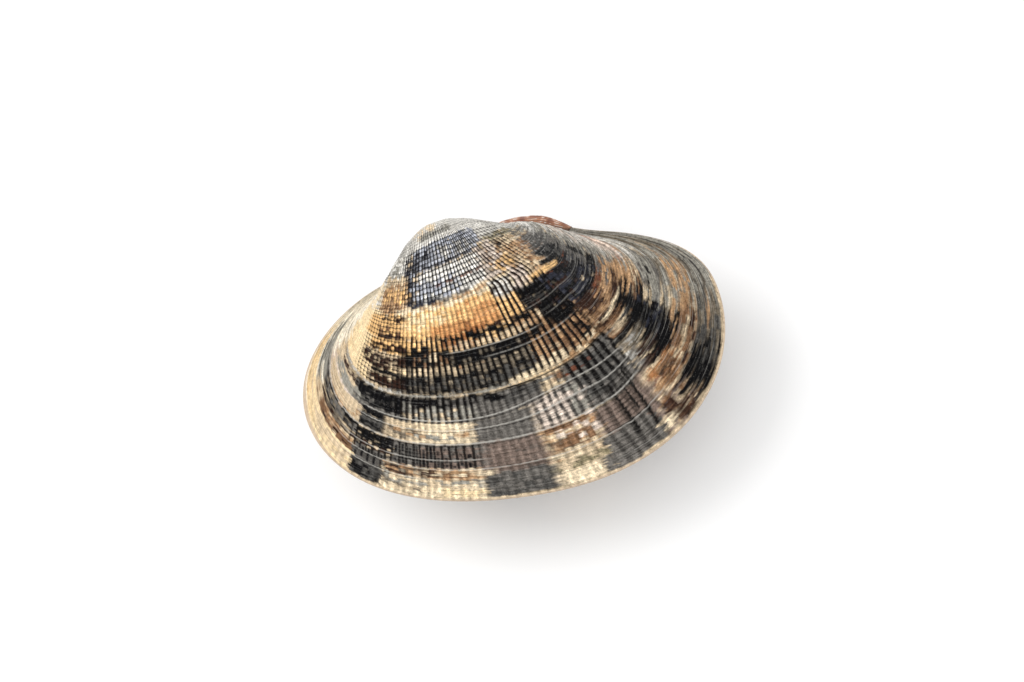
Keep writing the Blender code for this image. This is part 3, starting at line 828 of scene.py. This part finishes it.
def patch_group():
    """One patch of pigment laid over the colour below it."""
    tree = bpy.data.node_groups.new("pigment_patch", "GeometryNodeTree")
    for label in ("Below", "Pigment"):
        tree.interface.new_socket(label, in_out="INPUT", socket_type="NodeSocketColor")
    labels = ("Phase", "Crest", "Age", "Lamellate", "Line chance", "Rib chance", "Cell chance", "First cloud",
              "Second cloud", "Slow cloud", "First rib", "Last rib", "First age", "Last age", "Ragged",
              "Threshold", "On ribs", "Turn", "Seed")
    for label in labels:
        tree.interface.new_socket(label, in_out="INPUT", socket_type="NodeSocketFloat")
    tree.interface.new_socket("Colour", in_out="OUTPUT", socket_type="NodeSocketColor")
    entry = tree.nodes.new("NodeGroupInput")
    (below, pigment, phase, crest, age, lamellate, line_chance, rib_chance, cell_chance, first_cloud,
     second_cloud, slow_cloud, first_rib, last_rib, first, last, ragged, threshold, on_ribs, turn,
     seed) = (Wire(tree, socket) for socket in entry.outputs[:-1])

    def own(value):
        """The chance of this patch, from the one that all patches share."""
        return (value + seed * CHANCE_STEP).math("FRACT")

    cloud = first_cloud * turn.math("COSINE") + second_cloud * turn.math("SINE")
    aside = phase + (own(line_chance) - 0.5) * (0.6 + 2.4 * lamellate) + cloud * (0.9 + lamellate)
    across = aside + ((aside.math("FLOOR") + 0.5) - aside) * 0.6 * (1 - lamellate)
    cover = across.band(first_rib, last_rib, 0.42 + 0.4 * lamellate)
    shift = (own(rib_chance) - 0.5) * ragged * (1 - 0.5 * lamellate) + slow_cloud * turn.math("SINE") * ragged
    cover = cover * (age + shift).band(first, last, 0.0028)
    cell = own(cell_chance) * 0.5 + cloud * 0.4 + 0.25
    cover = cover * (cell - threshold).ramp(-0.14, 0.08)
    on_crest = crest.ramp(-0.2, 0.7) * on_ribs.at_least(0)
    in_groove = (crest - cloud * 0.4).ramp(-0.6, 0.3, 1, 0) * (-on_ribs).at_least(0)
    cover = cover * (1 - on_ribs.math("ABSOLUTE") + on_crest + in_groove)
    plug(mix(tree, cover, below, pigment), tree.nodes.new("NodeGroupOutput").inputs[0])
    return tree


def lay_pigments(tree, patches, age, phase, side_phase, crest, cord_phase, lamellate, seed):
    """The colour of the shell at each vertex, patch over patch."""
    group = {"node_tree": patch_group()}
    rib = phase.math("FLOOR")
    shared = {
        "line_chance": chance(tree, (age / (LAMELLA_SPACING * 0.6)).math("FLOOR") + seed * 13.1),
        "rib_chance": chance(tree, rib * 1.7 + seed),
        "cell_chance": chance(tree, rib * 7.31 + cord_phase.math("FLOOR") * 3.17 + seed),
        "first_cloud": noise(tree, phase * 0.55, age * 70, seed, detail=2),
        "second_cloud": noise(tree, phase * 0.55, age * 70, seed + 20, detail=2),
        "slow_cloud": noise(tree, phase * 0.13, age * 9, seed + 5, detail=1),
    }
    colour = SAND
    for number, (pigment, sides, ends, ragged, missing, on_ribs) in enumerate(patches):
        threshold = 0.5 + (missing - 0.5) * MISSING_RANGE if missing else -1
        colour = wire(
            tree, "GeometryNodeGroup", group, below=colour, pigment=pigment, phase=side_phase, crest=crest,
            age=age, lamellate=lamellate, first_rib=ribs_before(sides[0]), last_rib=ribs_before(sides[1]),
            first_age=ends[0], last_age=ends[1], ragged=ragged, on_ribs=on_ribs, turn=number * CLOUD_TURN,
            threshold=threshold, seed=number, **shared,
        )
    return colour


# Thin pale growth lines, partly painted highlights where the lips' edges catch the light, each with a painted
# shadow below it: age, first and last rib direction, and strength.
PALE_LINES = (
    (0.523, 112, 152, 0.2), (0.556, 118, 152, 0.2), (0.569, 78, 112, 0.45), (0.594, 92, 124, 0.35),
    (0.675, 30, 98, 0.5), (0.731, 48, 130, 0.7), (0.766, 48, 130, 0.65), (0.811, 24, 130, 0.65),
    (0.861, 44, 84, 0.5), (0.893, 40, 129, 0.6), (0.928, 44, 66, 0.6), (0.966, 112, 124, 0.3),
)
PALE_LINE_WIDTH = 0.0030
SHADOW_LINE_BELOW = 0.0052
# The painted shadow under the lip of the longest stop: age, half its width, first and last rib direction.
LEDGE_SHADOW = (0.68, 0.0032, 94, 131)


def open_material(name):
    """A new material, with its shader."""
    material = bpy.data.materials.new(name)
    material.use_nodes = True
    return material, material.node_tree.nodes["Principled BSDF"]


def laid(tree, label, output=2):
    """A number that the mesh holds at each vertex, for a material. Output 0 gives a colour."""
    return wire(tree, "ShaderNodeAttribute", {"attribute_name": label}, output)


def growth_lines_and_lip_shadows(age, side_phase):
    """The thin pale growth lines, partly painted highlights, and the painted shadows below them."""
    ledge, half_width, first, last = LEDGE_SHADOW
    pale = 0 * age
    # Painted shadow under the lip of the longest stop, and under each pale line.
    lip_shadow = age.peak(ledge, half_width) * side_phase.band(ribs_before(first), ribs_before(last), 2)
    for place, first, last, strength in PALE_LINES:
        seen = side_phase.band(ribs_before(first), ribs_before(last), 1.5) * strength
        pale = pale + age.peak(place, PALE_LINE_WIDTH) * seen
        lip_shadow = lip_shadow + age.peak(place + SHADOW_LINE_BELOW, PALE_LINE_WIDTH) * seen
    return pale, lip_shadow


def crack_marks(phase, age, streak, spread):
    """The furrow's cracks, which run along its ribs with a slant and a sway."""
    cracks = 0 * age
    for place, slant, first, last in CRACKS:
        per_degree = ribs_before(place + 0.5) - ribs_before(place - 0.5)
        aside = phase - ribs_before(place) + (age - CRACK_MIDDLE) * slant * per_degree
        aside = aside + streak * 0.14 + spread * 0.12
        cracks = cracks + aside.peak(0, 0.36) * age.band(first, last, 0.006)
    return cracks.at_most(1)


def shell_material(name):
    """Satin shell: the laid pigments, with painted shade in the grooves and under the lips, painted
    highlights and glints on the crests, fine growth lines, grain and a soft gloss.
    """
    material, shader = open_material(name)
    tree = material.node_tree

    def texture(place, scale, detail):
        """Smooth noise round 0, mostly from -1 to 1."""
        return (wire(tree, "ShaderNodeTexNoise", vector=place, scale=scale, detail=detail) - 0.5) * 4

    pigment = laid(tree, "pigment", 0)
    phase, side_phase, cord_phase, lamella_phase = (
        laid(tree, label) for label in ("rib_phase", "side_phase", "cord_phase", "lamella_phase")
    )
    age, groove, cording, cells, lamellate, wear_and_glints = (
        laid(tree, label) for label in ("age", "groove", "cording", "cells", "lamellate", "wear_and_glints")
    )
    place = wire(tree, "ShaderNodeTexCoord", output=3)
    grain = texture(place, 3600, 2)
    fine_grain = texture(place, 6400, 1)
    cloud = texture(place, 420, 3)
    streak = texture(vector(tree, phase * 0.6, age * 150, 0), 1, 3)
    hair = texture(vector(tree, phase * 0.12, age * 300, 3), 1, 1)
    spread = texture(vector(tree, phase * 2.0, age * 40, 0), 1, 2)
    whole = vector(tree, phase.math("FLOOR"), cord_phase.math("FLOOR"), 0)
    cell = wire(tree, "ShaderNodeTexWhiteNoise", {"noise_dimensions": "2D"}, vector=whole) - 0.5

    ribbed = 1 - lamellate
    smooth = side_phase.ramp(ribs_before(44), ribs_before(52), 0.45, 1)
    grain, streak, fine_grain = grain * smooth, streak * smooth, fine_grain * smooth
    tone = (1 + cell * (0.12 + 0.6 * cells) * ribbed) * (1 + streak * (0.30 + 0.25 * lamellate))
    tone = tone * (1 + spread * 0.22)
    tone = (tone * (1 + grain * 0.36)).at_least(0.12)
    toned = scaled(tree, pigment, tone)
    # Painted shade in the rib grooves, the cord grooves and where they cross, with darker lines between the
    # lamellae, pits and hairlines.
    groove_shade = (phase.wave() + spread * 0.35 + streak * 0.25).ramp(0.15, 0.85) * groove
    cord_shade = (cord_phase.wave() + streak * 0.4).ramp(0.25, 0.95) * cording
    crossing_shade = (phase.wave() + cord_phase.wave() + grain * 0.5).ramp(0.3, 1.4) * cording
    lamella_line = (lamella_phase.wave() + streak * 0.6).ramp(0.1, 1.2) * lamellate
    lamella_line = lamella_line * spread.ramp(-0.6, 0.8, 0.1, 0.6)
    pits = fine_grain.ramp(0.45, 0.9) * 0.5
    hairlines = hair.ramp(-0.2, -0.7) * 0.35
    lined = 1 - groove_shade
    for line in (cord_shade, crossing_shade, lamella_line, pits, hairlines):
        lined = lined * (1 - line)

    # Pale growth lines with painted highlights, and painted shadows under the lips.
    pale, lip_shadow = growth_lines_and_lip_shadows(age, side_phase)
    pale = pale * spread.ramp(-0.8, 0.2, 0.45, 1)
    threads = hair.ramp(0.3, 0.9) * (0.07 + 0.24 * lamellate * streak.ramp(-0.2, 0.5))
    # Painted highlights on the rib and cord crests, strongest on the cells of the cap.
    rib_crest = (-(phase.wave())).ramp(-0.1, 0.9) * side_phase.ramp(ribs_before(46), ribs_before(62), 0.3, 1)
    crests = rib_crest * (-(cord_phase.wave())).ramp(-0.2, 0.9)
    cracks = crack_marks(phase, age, streak, spread)
    # Crests rubbed pale: partly wear, partly painted glints.
    rubbed_and_glints = wear_and_glints * crests * cell.ramp(-0.3, 0.4, 0.2, 1) * 0.6
    # Fine painted glints.
    painted_glints = fine_grain.ramp(-0.55, -1.0) * 0.35
    light = 1 + (crests * cells + rib_crest * (1 - cells)) * ribbed * 0.30 + painted_glints
    lit = scaled(tree, toned, light)
    # The painted shade and painted shadows darken the colour towards DEEP.
    shown = mix(tree, lined * (1 - lip_shadow * 0.85) * (1 - cracks), DEEP, lit)
    shown = mix(tree, (pale + threads + rubbed_and_glints + painted_glints * 0.3).at_most(0.9), shown, PALE_GREY)
    shown = mix(tree, age.ramp(0.993, 0.999) * 0.6, shown, RIM)
    plug(shown, shader.inputs["Base Color"])
    plug(cloud.ramp(-0.8, 0.8, 0.34, 0.52), shader.inputs["Roughness"])
    shader.inputs["Specular IOR Level"].default_value = 0.06

    fine = (streak + grain) * 0.12 + lamella_phase.wave() * lamellate * -0.3
    bump = wire(tree, "ShaderNodeBump", strength=0.5, distance=0.02 * MM, height=fine)
    plug(bump, shader.inputs["Normal"])
    return material


# The valves' bodies.
# Two hollow valves of one shape, mirrored, which meet along their margins. Below the dome the wall is a flat
# rim and a hinge plate, and the spot that the lower valve rests on is worn flat.
CAVITY_CENTRE = Vector((4.0, -13.0, 0.0)) * MM
CAVITY_SCALE = (0.93, 0.91, 0.86)
CAVITY_END = 0.42
CAVITY_COLUMNS = 37
CAVITY_ROWS = 13
CAVITY_CLOSINGS = 4
HINGE_PLATE = 2.2 * MM
HINGE_PLATE_REACH = 6.0 * MM
HINGE_PLATE_BOW = 0.4 * MM
RIM_DEPTH = 0.13 * MM


def evaluated(mesh, *steps):
    """The mesh after each Geometry Nodes tree in turn, with its inputs set, as a plain mesh."""
    holder = bpy.data.objects.new("growing", mesh)
    bpy.context.scene.collection.objects.link(holder)
    for tree, values in steps:
        modifier = holder.modifiers.new(tree.name, "NODES")
        modifier.node_group = tree
        for item in tree.interface.items_tree:
            if item.in_out == "INPUT" and item.name in values:
                modifier[item.identifier] = float(values[item.name])
    graph = bpy.context.evaluated_depsgraph_get()
    ready = holder.evaluated_get(graph)
    plain = bpy.data.meshes.new_from_object(ready, preserve_all_data_layers=True, depsgraph=graph)
    bpy.data.objects.remove(holder)
    return plain


def cavity_rows(swing):
    """The hollow: the bare dome drawn inward, and closed towards the hinge plate in a rounded wall."""
    flat = fan("cavity", np.linspace(0, 180, CAVITY_COLUMNS), np.linspace(1, CAVITY_END, CAVITY_ROWS))
    bare = evaluated(flat, (swing, {"Shoulder rise": 0, "Groove depth": 0}))
    points = []
    for vertex in bare.vertices:
        point = vertex.co - CAVITY_CENTRE
        point = Vector(value * scale for value, scale in zip(point, CAVITY_SCALE)) + CAVITY_CENTRE
        from_axis = math.hypot(point.y, point.z)
        point.y -= HINGE_PLATE * math.exp(-((from_axis / HINGE_PLATE_REACH) ** 2))
        points.append(point)
    bpy.data.meshes.remove(bare)
    rows = [points[r * CAVITY_COLUMNS:(r + 1) * CAVITY_COLUMNS] for r in range(CAVITY_ROWS)]
    arch = rows[-1]
    for j in range(1, CAVITY_CLOSINGS + 1):
        row = []
        for i, point in enumerate(arch):
            across = i / (CAVITY_COLUMNS - 1)
            foot = arch[0].lerp(arch[-1], across)
            foot.y -= HINGE_PLATE_BOW * math.sin(math.pi * across)
            row.append(foot + (point - foot) * math.cos(math.pi / 2 * j / CAVITY_CLOSINGS))
        rows.append(row)
    for point in rows[0] + rows[-1] + [row[0] for row in rows] + [row[-1] for row in rows]:
        point.z = -RIM_DEPTH
    return rows


def finished_piece(name, mesh, finish, node):
    """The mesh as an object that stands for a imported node."""
    mesh.materials.clear()
    mesh.materials.append(finish)
    piece = bpy.data.objects.new(name, mesh)
    bpy.context.scene.collection.objects.link(piece)
    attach(piece, "root")
    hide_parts(node)
    return piece


def smooth_mesh(name, bm):
    """The finished mesh, shaded smooth, with one material."""
    for face in bm.faces:
        face.smooth = True
        face.material_index = 0
    mesh = bpy.data.meshes.new(name)
    bm.to_mesh(mesh)
    bm.free()
    return mesh


def closed_valve(name, dome, hollow, side):
    """The dome with its rim, hinge plate and hollow, as one closed body in its place."""
    bm = bmesh.new()
    bm.from_mesh(dome)
    for vertex in bm.verts:
        vertex.co.z = max(vertex.co.z, 0)
    edge = [e for e in bm.edges if e.is_boundary]
    rim = bmesh.ops.extrude_edge_only(bm, edges=edge)["geom"]
    for part in rim:
        if isinstance(part, bmesh.types.BMVert):
            part.co.z = -RIM_DEPTH
    grid = [[bm.verts.new(point) for point in row] for row in hollow]
    for upper, lower in zip(grid, grid[1:]):
        for a, b, c, d in zip(upper, upper[1:], lower[1:], lower):
            bm.faces.new((a, b, c, d))
    bmesh.ops.remove_doubles(bm, verts=[v for v in bm.verts if v.is_boundary], dist=0.001 * MM)
    outlines = [e for e in bm.edges if e.is_boundary]
    bmesh.ops.triangle_fill(bm, use_beauty=True, edges=outlines, normal=(0, 0, -1))
    place = lying @ Matrix.Translation((0, 0, side * MARGIN_GAP / 2)) @ Matrix.Diagonal((1, 1, side, 1))
    bmesh.ops.transform(bm, matrix=place, verts=bm.verts)
    bmesh.ops.recalc_face_normals(bm, faces=bm.faces)
    for vertex in bm.verts:
        vertex.co.z = max(vertex.co.z, 0)
    mesh = smooth_mesh(name, bm)
    mesh.set_sharp_from_angle(angle=math.radians(60))
    return mesh


swing = swing_tree()
shell = shell_material("patterned_shell")
relief = relief_tree("raise_relief", PATCHES, shell)
hollow = cavity_rows(swing)
flat_valve = fan("flat_valve", column_directions(), growth_lines(LINE_STEPS))
for node, side, seed in (("left_valve", 1, 0), ("right_valve", -1, 40)):
    dome = evaluated(flat_valve, (swing, {}), (relief, {"Seed": seed}))
    name = node + "_shell"
    finished_piece(name, closed_valve(name, dome, hollow, side), shell, node)


# The ligament.
# A horny band arched behind the beaks, which pulls the valves open against their muscles. It grew in layers
# along its length, and has dried reddish brown with pale flecks where the layers split.

# The line of its top in the plane of the margin: along and up from the beak, in mm.
LIGAMENT_TOP = ((1.8, 1.7), (3.6, 2.25), (5.7, 2.65), (8.3, 2.4), (10.2, 1.65), (12.1, 0.1))
LIGAMENT_HEIGHT = 3.6 * MM
LIGAMENT_WIDTH = 3.2 * MM
LIGAMENT_THIN_END = 0.25
LIGAMENT_STATIONS = 150
LIGAMENT_SIDES = 64


def ligament_band(name):
    """The band without its layers: a row of vertices round it at each station, which know their place."""
    places = np.linspace(0, 1, len(LIGAMENT_TOP))
    top_x, top_y = (smooth_through(places, values) for values in zip(*LIGAMENT_TOP))
    points, along, around = [], [], []
    for j in range(LIGAMENT_STATIONS + 1):
        place = j / LIGAMENT_STATIONS
        low, high = max(place - 0.01, 0), min(place + 0.01, 1)
        ahead = Vector((top_x(high) - top_x(low), top_y(high) - top_y(low), 0)).normalized()
        up = Vector((-ahead.y, ahead.x, 0))
        swell = LIGAMENT_THIN_END + (1 - LIGAMENT_THIN_END) * math.sin(math.pi * place) ** 0.5
        top = Vector((top_x(place), top_y(place), 0)) * MM
        for k in range(LIGAMENT_SIDES + 1):
            turn = 2 * math.pi * k / LIGAMENT_SIDES
            rise = LIGAMENT_HEIGHT / 2 * swell * (math.cos(turn) - 1)
            points.append(top + up * rise + Vector((0, 0, LIGAMENT_WIDTH / 2 * swell * math.sin(turn))))
            along.append(place)
            around.append(k / LIGAMENT_SIDES)
    mesh = bpy.data.meshes.new(name)
    mesh.from_pydata(points, [], grid_faces(LIGAMENT_STATIONS + 1, LIGAMENT_SIDES + 1))
    for label, values in (("along", along), ("around", around)):
        mesh.attributes.new(label, "FLOAT", "POINT").data.foreach_set("value", values)
    return mesh


def layers_tree(finish):
    """Raises the band's layers, which run along it and crowd towards its edges."""
    tree, (geometry, layers, layer_height, knot_height) = open_tree("raise_layers", {
        "Layers": 26, "Layer height": 0.035 * MM, "Knot height": 0.07 * MM,
    })
    along = attribute(tree, "along")
    around = attribute(tree, "around")
    from_top = (around - 0.5).math("ABSOLUTE") * 2
    bent = around + noise(tree, along * 5, from_top * 3, 2) * 0.012 * from_top.ramp(1, 0.9)
    layer = (bent * layers).wave()
    knots = noise(tree, along * 22, from_top * 5, 5, detail=3)
    height = (layer * layer_height + knots * knot_height) * along.band(0.03, 0.97, 0.03)
    raised = raised_by(tree, geometry, height - layer_height * 2)
    raised = kept(tree, raised, "layer", bent * layers)
    raised = kept(tree, raised, "side", 1 - from_top)
    close_tree(tree, raised, finish)
    return tree


def horn_material(name):
    """Dried horny layers: reddish brown, darker low on the sides, with pale split edges."""
    material, shader = open_material(name)
    tree = material.node_tree
    layer, side, along = (laid(tree, label) for label in ("layer", "side", "along"))
    place = wire(tree, "ShaderNodeTexCoord", output=3)
    grain = wire(tree, "ShaderNodeTexNoise", vector=place, scale=2600, detail=3)
    along_layer = vector(tree, along * 14, layer * 0.3, 0)
    cloud = wire(tree, "ShaderNodeTexNoise", vector=along_layer, scale=1, detail=3)
    red = mix(tree, cloud.ramp(0.35, 0.65), paint(124, 74, 54), paint(186, 132, 100))
    lined = mix(tree, (-(layer.wave())).ramp(0.2, 1.0) * 0.55, red, UMBER)
    split = layer.wave().ramp(0.3, 1.0) * cloud.ramp(0.48, 0.58) * grain.ramp(0.42, 0.55)
    flecked = mix(tree, split * 0.9, lined, WHITE)
    shaded = mix(tree, side.ramp(0.26, 0.48) * 0.70, flecked, UMBER)
    plug(shaded, shader.inputs["Base Color"])
    plug(grain.ramp(0.35, 0.65, 0.34, 0.55), shader.inputs["Roughness"])
    shader.inputs["Specular IOR Level"].default_value = 0.4
    bump = wire(tree, "ShaderNodeBump", strength=0.5, distance=0.03 * MM, height=grain + cloud)
    plug(bump, shader.inputs["Normal"])
    return material


def closed_band(name, rough):
    """The band with its seam and ends closed, in its place."""
    bm = bmesh.new()
    bm.from_mesh(rough)
    bmesh.ops.remove_doubles(bm, verts=bm.verts, dist=0.001 * MM)
    ends = [e for e in bm.edges if e.is_boundary]
    bmesh.ops.holes_fill(bm, edges=ends, sides=0)
    bmesh.ops.triangulate(bm, faces=[f for f in bm.faces if len(f.verts) > 4])
    bmesh.ops.transform(bm, matrix=lying, verts=bm.verts)
    bmesh.ops.recalc_face_normals(bm, faces=bm.faces)
    return smooth_mesh(name, bm)


horn = horn_material("brown_horn")
rough_band = evaluated(ligament_band("plain_band"), (layers_tree(horn), {}))
finished_piece("ligament_band", closed_band("ligament_band", rough_band), horn, "ligament")


# The table, the light and the camera.
# A pale sheet under soft white light from all round, with a large lamp above and behind the shell's front end
# and a weak one over the belly side. The camera looks down on the left valve from the belly side.
bpy.ops.mesh.primitive_plane_add(size=3.0)
table = bpy.context.object
table.name = "table"
pale, shader = open_material("pale_table")
shader.inputs["Base Color"].default_value = (0.93, 0.93, 0.93, 1)
shader.inputs["Roughness"].default_value = 0.9
shader.inputs["Specular IOR Level"].default_value = 0.1
table.data.materials.append(pale)

world = bpy.data.worlds.new("soft_white")
bpy.context.scene.world = world
world.use_nodes = True
sky = world.node_tree.nodes["Background"]
sky.inputs["Color"].default_value = (1, 1, 1, 1)
sky.inputs["Strength"].default_value = 0.97
bpy.context.scene.view_settings.view_transform = "Standard"

# Each lamp: its place and width in metres, and its power in watts.
LAMPS = (
    ("key", (-0.30, 0.16, 0.34), 0.30, 1.0),
    ("fill", (0.20, -0.30, 0.40), 0.40, 0.3),
)
for name, place, width, power in LAMPS:
    lamp = bpy.data.lights.new(name, "AREA")
    lamp.size = width
    lamp.energy = power
    holder = bpy.data.objects.new(name, lamp)
    holder.location = place
    holder.rotation_euler = (-Vector(place)).to_track_quat("-Z", "Y").to_euler()
    bpy.context.scene.collection.objects.link(holder)

# The camera in the valves' frame: turned, looking down, rolled, and how far from the point that it looks at.
TURN = math.radians(-0.24)
LOOK_DOWN = math.radians(72.26)
ROLL = math.radians(15.9)
DISTANCE = 380 * MM
AIM = Vector((3.21, -9.81, 0.70)) * MM
back = Vector((
    math.sin(TURN) * math.cos(LOOK_DOWN), -math.cos(TURN) * math.cos(LOOK_DOWN), math.sin(LOOK_DOWN),
))
level = Vector((math.cos(TURN), math.sin(TURN), 0))
upright = back.cross(level)
right = math.cos(ROLL) * level - math.sin(ROLL) * upright
up = math.sin(ROLL) * level + math.cos(ROLL) * upright
camera = bpy.data.objects.new("camera", bpy.data.cameras.new("camera"))
camera.data.lens = 136.5
camera.data.sensor_width = 36
camera.data.clip_start = 0.01
pose = Matrix((right, up, back)).transposed().to_4x4()
pose.translation = AIM + back * DISTANCE
camera.matrix_world = lying @ pose
bpy.context.scene.collection.objects.link(camera)
bpy.context.scene.camera = camera
